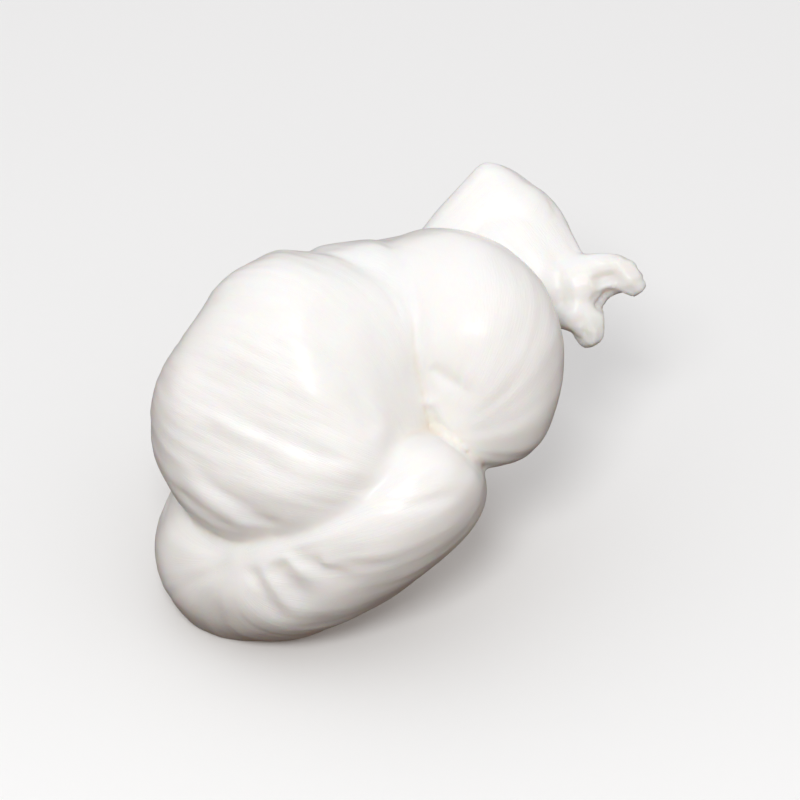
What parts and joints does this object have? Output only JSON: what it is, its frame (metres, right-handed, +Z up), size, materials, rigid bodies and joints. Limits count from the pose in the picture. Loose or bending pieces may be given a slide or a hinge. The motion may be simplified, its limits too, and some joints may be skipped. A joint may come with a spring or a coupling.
{
  "type": "mozzarella knot",
  "caption": "Knot of fresh mozzarella: a thick strand of stretched curd tied into a ball, with its turns wrapped round it and a flat tail torn off into a fork.",
  "frame": {"origin": "on the small flat that the knot rests on, below the middle of its face", "axes": "+X to the right across the face, towards the torn tail; +Y to the back; +Z up. The face looks towards -Y and about 35 degrees up"},
  "size_m": [0.0671, 0.0559, 0.0505],
  "materials": {
    "curd": "moist white curd with a soft gloss"
  },
  "bodies": {
    "root": {"mozzarella_knot": "curd"}
  },
  "joints": []
}
